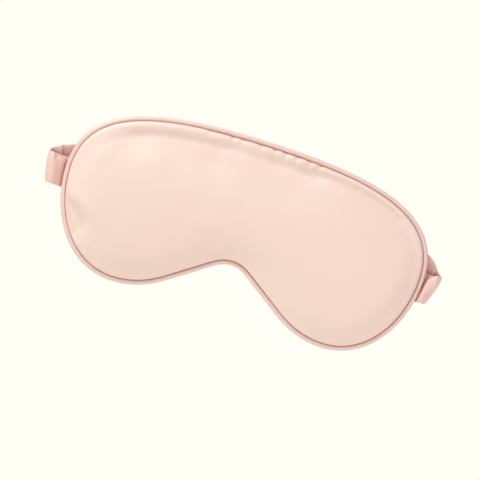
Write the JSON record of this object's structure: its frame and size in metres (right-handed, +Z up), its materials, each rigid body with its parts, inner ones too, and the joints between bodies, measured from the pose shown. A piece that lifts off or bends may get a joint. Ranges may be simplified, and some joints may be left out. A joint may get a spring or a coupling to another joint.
{
  "type": "sleep eye mask",
  "caption": "Padded satin eye mask with a piped edge, a nose notch and an elastic head strap folded behind it.",
  "frame": {"origin": "middle of the mask, in the plane of its edge seam", "axes": "+X towards the wearer's left, +Y back towards the face and the strap, +Z up to the brow edge"},
  "size_m": [0.231, 0.0189, 0.1008],
  "materials": {
    "satin": "soft satin sheen",
    "piping_satin": "soft satin sheen",
    "strap_satin": "satin sheen, gathered",
    "wadding": "matt fibre",
    "lining": "matt, dense weave",
    "cord": "matt twisted cotton",
    "thread": "polyester thread",
    "elastic": "braided, matt"
  },
  "bodies": {
    "mask": {"front_panel": "satin", "front_wadding": "wadding", "blackout_lining": "lining", "back_wadding": "wadding", "back_panel": "satin", "piping_cover": "piping_satin", "piping_cord": "cord", "edge_seam": "thread", "closing_stitches": "thread", "left_strap_tack": "thread", "right_strap_tack": "thread", "left_strap_fold": "strap_satin", "right_strap_fold": "strap_satin", "left_elastic_end": "elastic", "right_elastic_end": "elastic"},
    "strap": {"strap_cover": "strap_satin", "strap_elastic": "elastic", "strap_seam": "thread"}
  },
  "joints": [
    {"name": "strap_stretch", "type": "slide", "parent": "mask", "child": "strap", "axis": [0, 1, 0], "range_m": [0, 0.1], "stiffness_N_per_m": 45, "deforming": ["left_strap_fold", "right_strap_fold", "left_elastic_end", "right_elastic_end"]}
  ]
}
